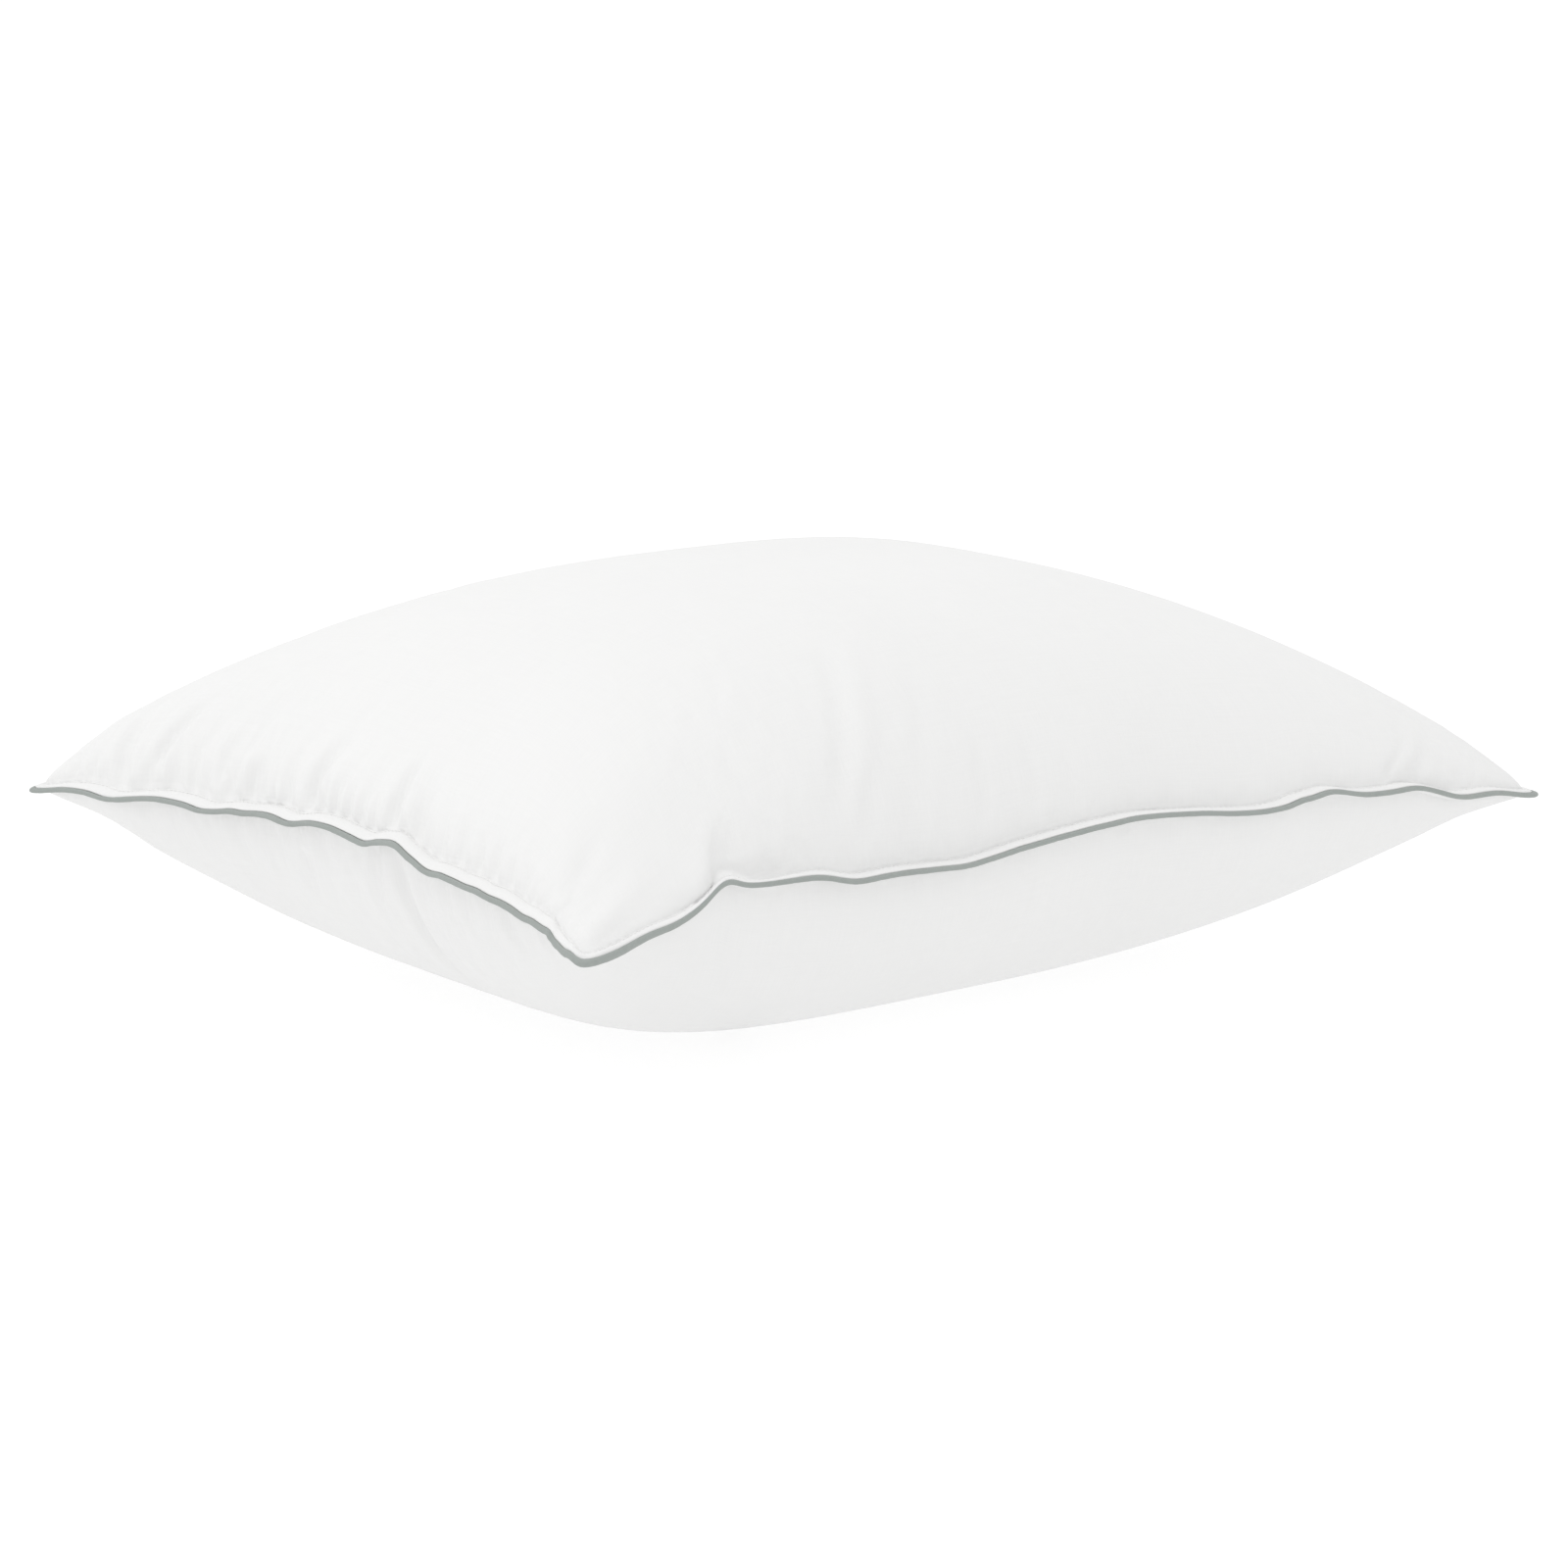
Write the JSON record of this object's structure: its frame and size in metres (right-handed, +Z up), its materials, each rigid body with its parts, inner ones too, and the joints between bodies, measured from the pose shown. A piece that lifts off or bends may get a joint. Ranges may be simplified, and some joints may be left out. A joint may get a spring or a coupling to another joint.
{
  "type": "bed pillow",
  "caption": "Rectangular stuffed bed pillow with a corded, piped edge seam, sides that pull in between pointed corners and a crowned top, for resting the head on.",
  "frame": {"origin": "centre of the pillow's footprint, on the surface that the pillow lies on", "axes": "+X along the long sides, +Y along the short ends, +Z up through the crown"},
  "size_m": [0.576, 0.4804, 0.202],
  "materials": {
    "shell_cotton": "white, close plain-woven cotton with a soft sheen",
    "piping_cotton": "grey plain-woven cotton cut on the bias, matt",
    "filler_cord": "undyed twisted cotton cord",
    "fibre_filling": "white carded polyester fibre, fluffy",
    "sewing_thread": "white spun polyester thread",
    "label_satin": "blank white satin ribbon"
  },
  "bodies": {
    "root": {"filling": "fibre_filling", "bottom_panel": "shell_cotton", "top_panel": "shell_cotton", "piping_cord": "filler_cord", "piping_tape": "piping_cotton", "seam_thread": "sewing_thread", "overlock_thread": "sewing_thread", "topstitch_needle_thread": "sewing_thread", "topstitch_bobbin_thread": "sewing_thread", "closing_thread": "sewing_thread", "care_label": "label_satin"}
  },
  "joints": []
}
